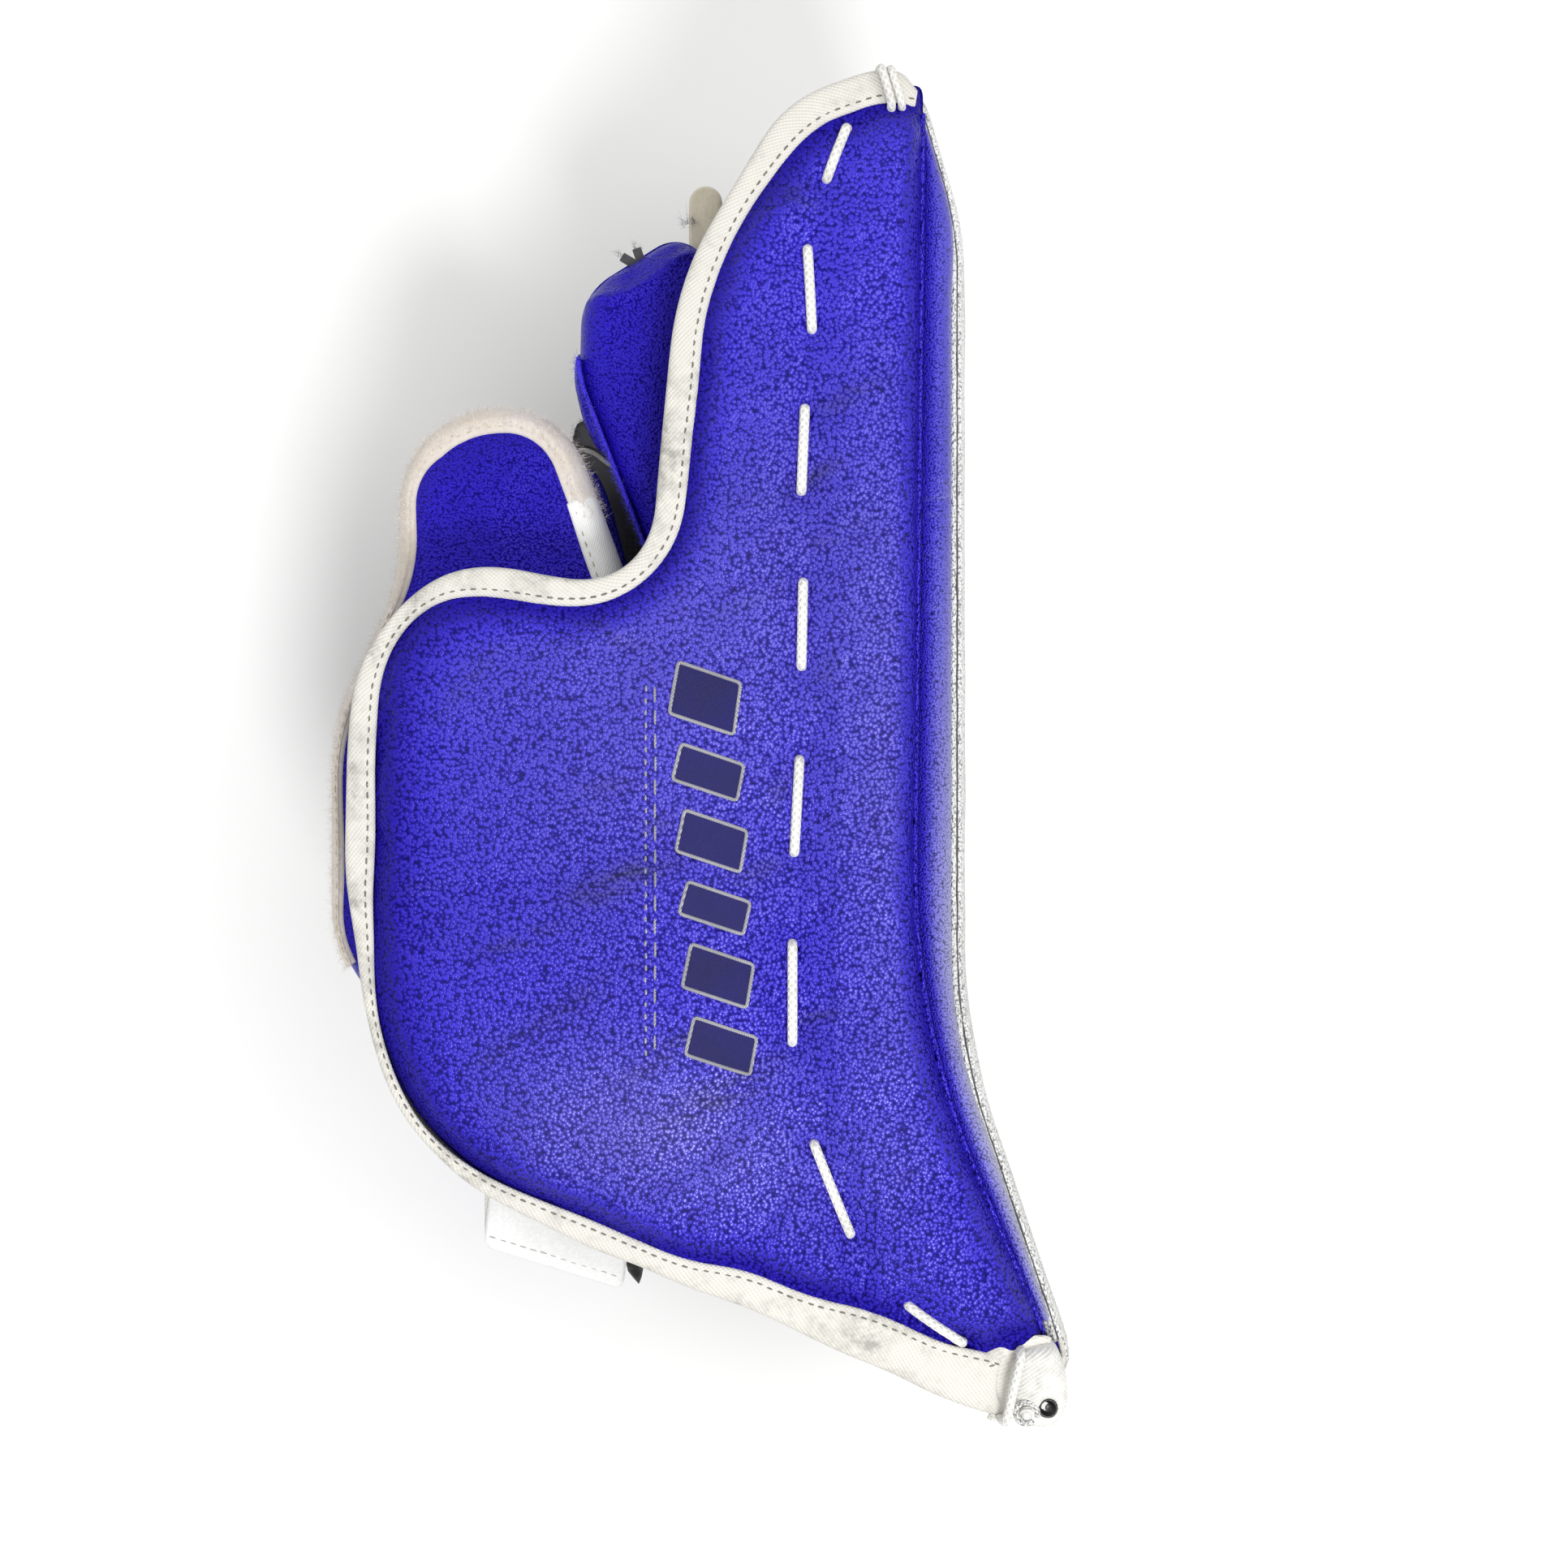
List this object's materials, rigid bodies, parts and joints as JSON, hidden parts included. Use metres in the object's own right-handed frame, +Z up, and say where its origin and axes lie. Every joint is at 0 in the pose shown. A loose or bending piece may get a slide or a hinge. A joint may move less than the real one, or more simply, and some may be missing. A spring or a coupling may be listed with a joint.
{
  "type": "ice hockey goalie blocker",
  "caption": "Right-hand ice hockey goalie blocker: rectangular board with laced padded side board, guarded finger and thumb stalls, leather palm and strapped cuff.",
  "frame": {"origin": "middle of the long lower edge of the board, which the blocker rests on", "axes": "+X the way the striking face looks, +Y towards the fingertips, +Z up, towards the side board on the thumb side"},
  "size_m": [0.2178, 0.3915, 0.2062],
  "materials": {
    "foam": "closed-cell foam, grey, matt",
    "stiffening_sheet": "plastic sheet",
    "blue_leather": "pebbled synthetic leather, satin, royal blue leaning to violet",
    "white_leather": "smooth synthetic leather, puck-marked",
    "palm_leather": "suede-like synthetic leather, cream",
    "black_nylon": "woven nylon",
    "black_mesh": "open knitted mesh",
    "black_elastic": "woven elastic",
    "white_binding": "twill binding tape, dirty off-white",
    "fleece_binding": "brushed, slightly hairy off-white binding",
    "bright_piping": "raw folded edge, brighter blue",
    "lace": "round braid, off-white",
    "white_strap": "smooth coated webbing, white",
    "hook_and_loop": "hook-and-loop tape, black"
  },
  "bodies": {
    "board": {"back_hand_liner": "black_nylon", "back_hand_pad": "foam", "binding_end_fold": "white_binding", "board_back_cover": "black_nylon", "board_edge_roll": "blue_leather", "board_face_cover": "white_leather", "board_foam_core": "foam", "board_lower_gusset": "blue_leather", "board_stiffener": "stiffening_sheet", "board_upper_gusset": "blue_leather", "cuff_elastic": "black_elastic", "face_graphic_chevron": "blue_leather", "face_graphic_lower": "blue_leather", "face_graphic_upper": "blue_leather", "fingertip_end_binding": "white_binding", "forearm_end_binding": "white_binding", "lace_knots": "lace", "palm": "palm_leather", "palm_edge_binding": "palm_leather", "palm_lace": "lace", "palm_mesh_gusset": "black_mesh", "side_board_binding": "white_binding", "side_board_cover": "blue_leather", "side_board_foam": "foam", "side_board_lining": "black_nylon", "side_board_stiffener": "stiffening_sheet", "side_lace": "lace", "thumb_crotch_gusset": "blue_leather", "wrist_gusset": "black_mesh"},
    "fingers": {"little_finger_stall": "palm_leather", "ring_finger_stall": "palm_leather", "middle_finger_stall": "palm_leather", "index_finger_stall": "palm_leather", "knuckle_band": "black_elastic", "index_guard_foam": "blue_leather", "index_guard_cover": "blue_leather", "index_guard_piping": "bright_piping", "fingertip_tab": "palm_leather"},
    "thumb": {"thumb_stall": "palm_leather", "thumb_guard_foam": "blue_leather", "thumb_guard_cover": "blue_leather", "thumb_binding": "fleece_binding", "thumb_binding_patch": "white_binding", "thumb_side_pad": "blue_leather"},
    "cuff": {"cuff_little_finger_pad": "blue_leather", "cuff_thumb_pad": "blue_leather", "cuff_palm_pad": "blue_leather", "cuff_liner": "black_nylon", "cuff_binding": "white_binding", "strap_anchor": "white_strap", "strap_loop_patch": "hook_and_loop"},
    "strap": {"wrist_strap": "white_strap", "strap_hook_patch": "hook_and_loop", "strap_pull_tab": "white_strap"}
  },
  "joints": [
    {"name": "finger_curl", "type": "hinge", "parent": "board", "child": "fingers", "pos_m": [-0.056, 0.048, 0.1], "axis": [0, 0, 1], "range_deg": [-8, 5]},
    {"name": "thumb_swing", "type": "hinge", "parent": "board", "child": "thumb", "pos_m": [-0.11, -0.055, 0.15], "axis": [0, 0, 1], "range_deg": [0, 12]},
    {"name": "cuff_flex", "type": "hinge", "parent": "board", "child": "cuff", "pos_m": [-0.112, -0.085, 0.075], "axis": [0, 0, -1], "range_deg": [0, 15]},
    {"name": "strap_open", "type": "hinge", "parent": "cuff", "child": "strap", "pos_m": [-0.1243, -0.1155, 0.1494], "axis": [0, 1, 0], "range_deg": [0, 130]}
  ]
}
